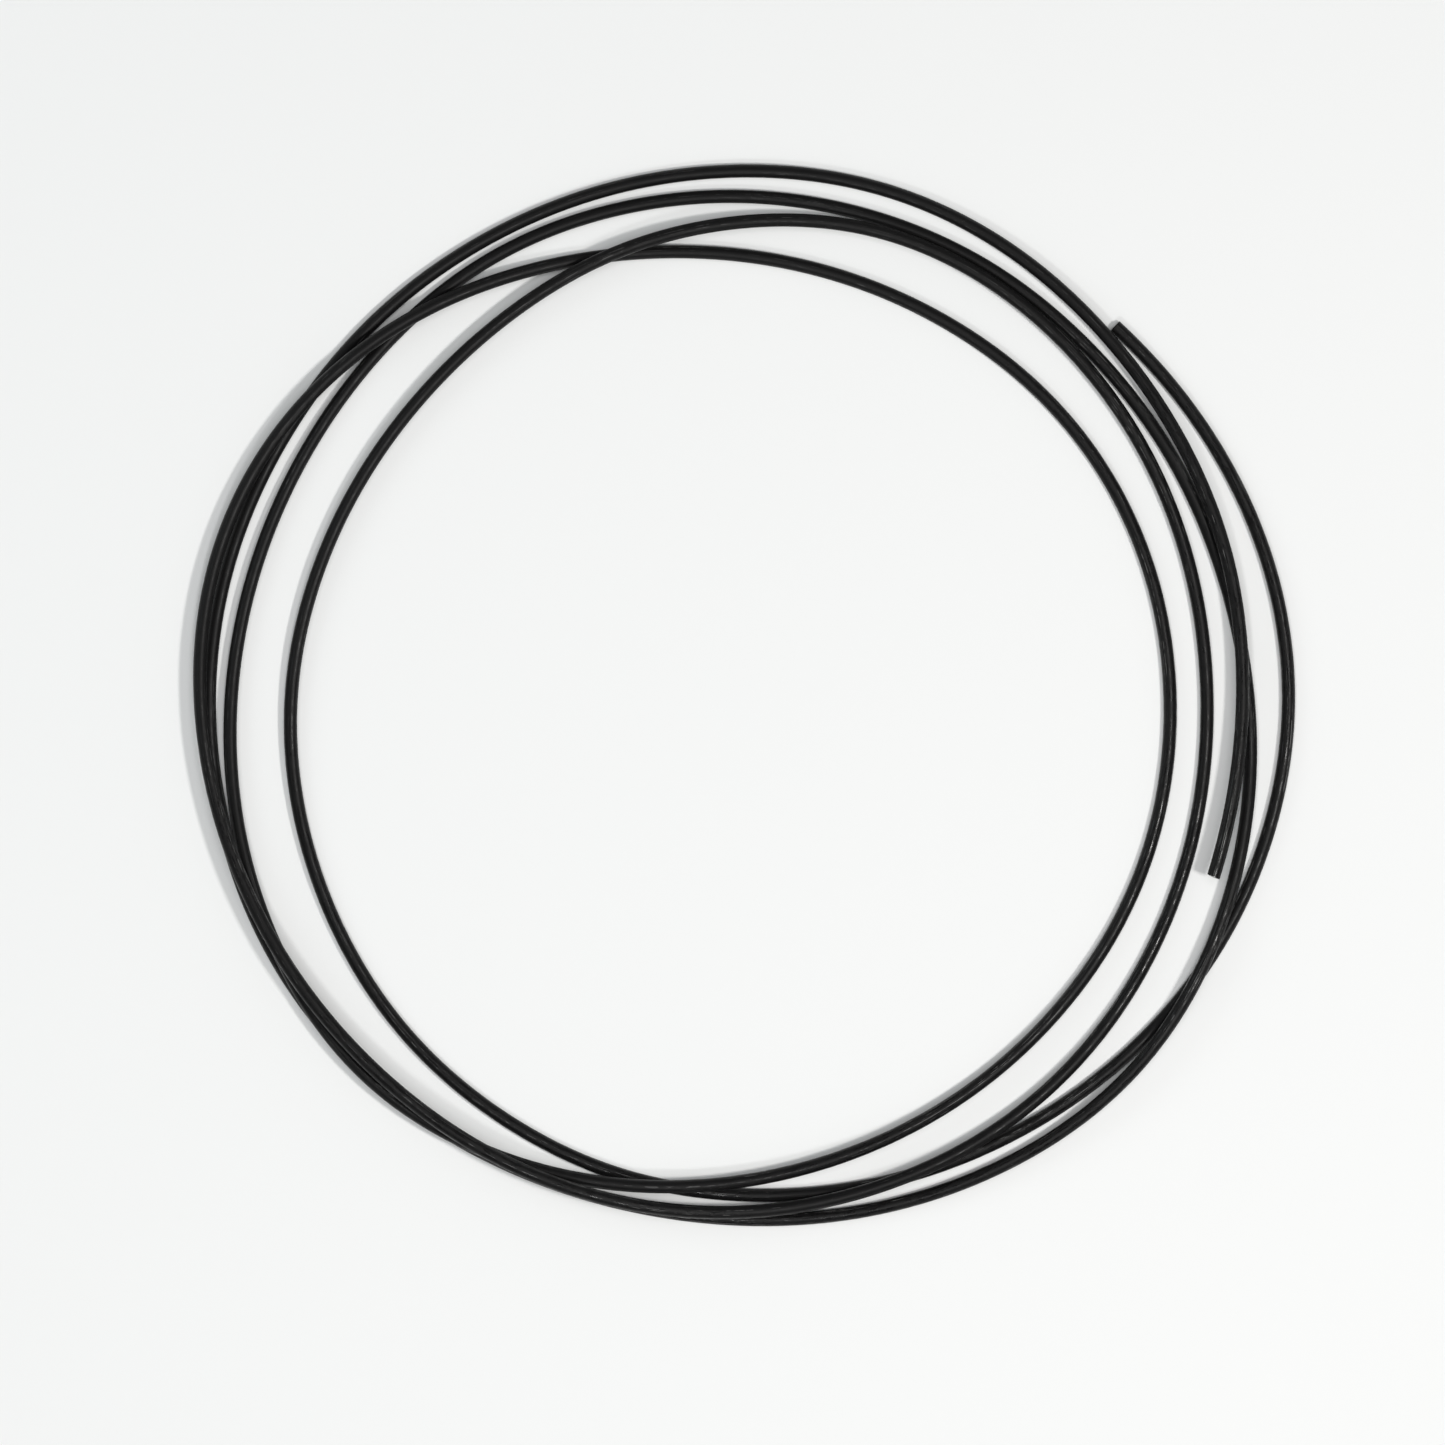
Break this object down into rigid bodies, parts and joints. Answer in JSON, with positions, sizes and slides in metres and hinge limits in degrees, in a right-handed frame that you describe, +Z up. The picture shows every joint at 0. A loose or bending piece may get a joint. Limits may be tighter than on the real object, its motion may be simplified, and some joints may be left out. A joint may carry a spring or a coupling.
{
  "type": "brake cable housing",
  "caption": "Bare length of slim black bicycle brake-cable housing in a loose flat coil: plastic jacket, wound steel wire and slippery liner with an open bore.",
  "frame": {"origin": "middle of the coil's box, on the surface the coil lies on", "axes": "+Z up, out of the flat coil; +X along the coil's widest way, towards the side where the two cut ends lie; +Y completes the frame"},
  "size_m": [0.4104, 0.396, 0.0162],
  "materials": {
    "jacket": "matte black, lightly scuffed",
    "winding": "bright drawn wire",
    "liner": "smooth, milky"
  },
  "bodies": {
    "root": {"outer_jacket": "jacket", "wire_winding": "winding", "inner_liner": "liner"}
  },
  "joints": []
}
